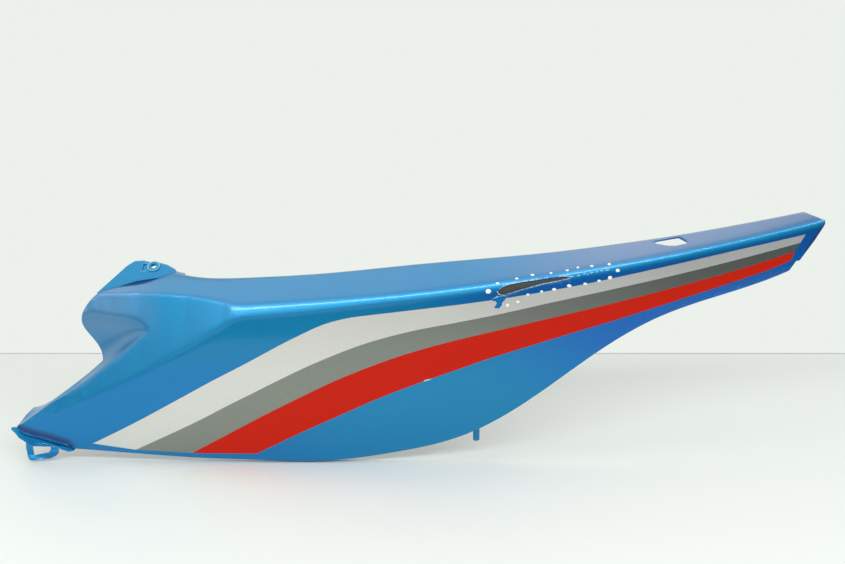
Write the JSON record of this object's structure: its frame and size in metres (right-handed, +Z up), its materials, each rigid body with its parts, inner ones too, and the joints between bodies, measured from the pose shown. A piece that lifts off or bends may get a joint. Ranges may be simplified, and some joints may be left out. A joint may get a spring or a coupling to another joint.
{
  "type": "scooter side panel",
  "caption": "Left rear side cover of a scooter: a thin painted moulding with a leaning top band, a blunt crease, a scooped neck, stripe film and a scrape along the crease.",
  "frame": {"origin": "centre of the front screw hole, at the outer face of its pad", "axes": "+X towards the scooter's tail, +Y inwards to the scooter's middle, +Z up, as the cover stands in the picture"},
  "size_m": [0.85, 0.0835, 0.2566],
  "materials": {
    "blue_paint": "metallic blue under clear coat, on black moulded plastic",
    "black_plastic": "bare moulded plastic with a fine grain, dusted with blue near its edges",
    "silver_film": "silver adhesive film with fine flake",
    "grey_film": "grey adhesive film with fine flake",
    "red_film": "orange-red adhesive film",
    "white_paint": "small dabs of white correction paint",
    "worn_plastic": "scraped fibrous plastic with dirt and chipped paint"
  },
  "bodies": {
    "root": {"side_panel": "blue_paint"}
  },
  "joints": []
}
